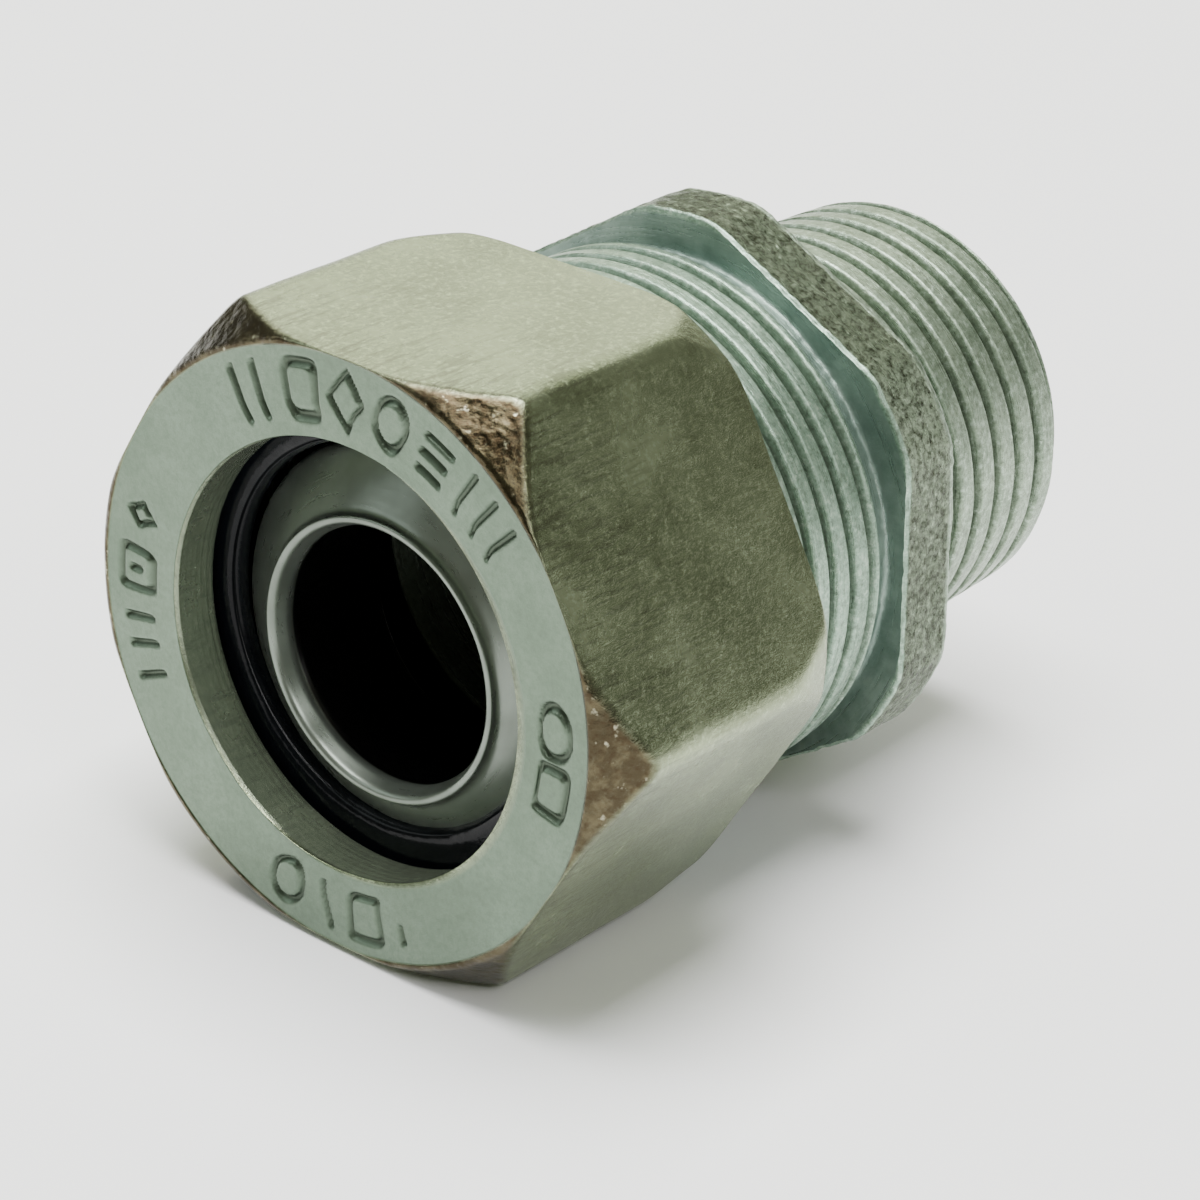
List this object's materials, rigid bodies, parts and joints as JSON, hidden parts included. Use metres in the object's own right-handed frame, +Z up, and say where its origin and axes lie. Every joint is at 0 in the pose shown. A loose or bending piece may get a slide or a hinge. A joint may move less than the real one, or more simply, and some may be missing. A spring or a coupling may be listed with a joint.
{
  "type": "conduit compression fitting",
  "caption": "Straight liquid-tight conduit connector with a hexagonal gland nut, black sealing ring, steel ferrule and a flanged body with a tapered male thread.",
  "frame": {"origin": "under the middle of the fitting, at the centre of the bounding box's bottom face", "axes": "+Y along the fitting's axis from the gland nut's face to the male end, +Z up, square to the nut's top flat"},
  "size_m": [0.033, 0.0416, 0.0292],
  "materials": {
    "nut_zinc": "zinc plated, satin flats with a turned face",
    "seal_black": "glossy moulded black nylon",
    "ferrule_steel": "smooth rolled and plated sheet steel",
    "body_zinc": "zinc plated casting, grainy flange, cut threads",
    "liner_black": "moulded black nylon"
  },
  "bodies": {
    "body": {"fitting_body": "body_zinc", "throat_liner": "liner_black"},
    "seal_stack": {"sealing_ring": "seal_black", "ferrule": "ferrule_steel"},
    "nut": {"gland_nut": "nut_zinc"}
  },
  "joints": [
    {"name": "gland_travel", "type": "slide", "parent": "body", "child": "seal_stack", "axis": [0, 1, 0], "range_m": [-0.0056, 0.0031]},
    {"name": "nut_turn", "type": "hinge", "parent": "seal_stack", "child": "nut", "pos_m": [0, 0, 0.0146], "axis": [0, 1, 0], "range_deg": [-1260, 720]}
  ],
  "couplings": [
    {"joint": "gland_travel", "follows": "nut_turn", "m_per_rad": 0.00023873}
  ]
}
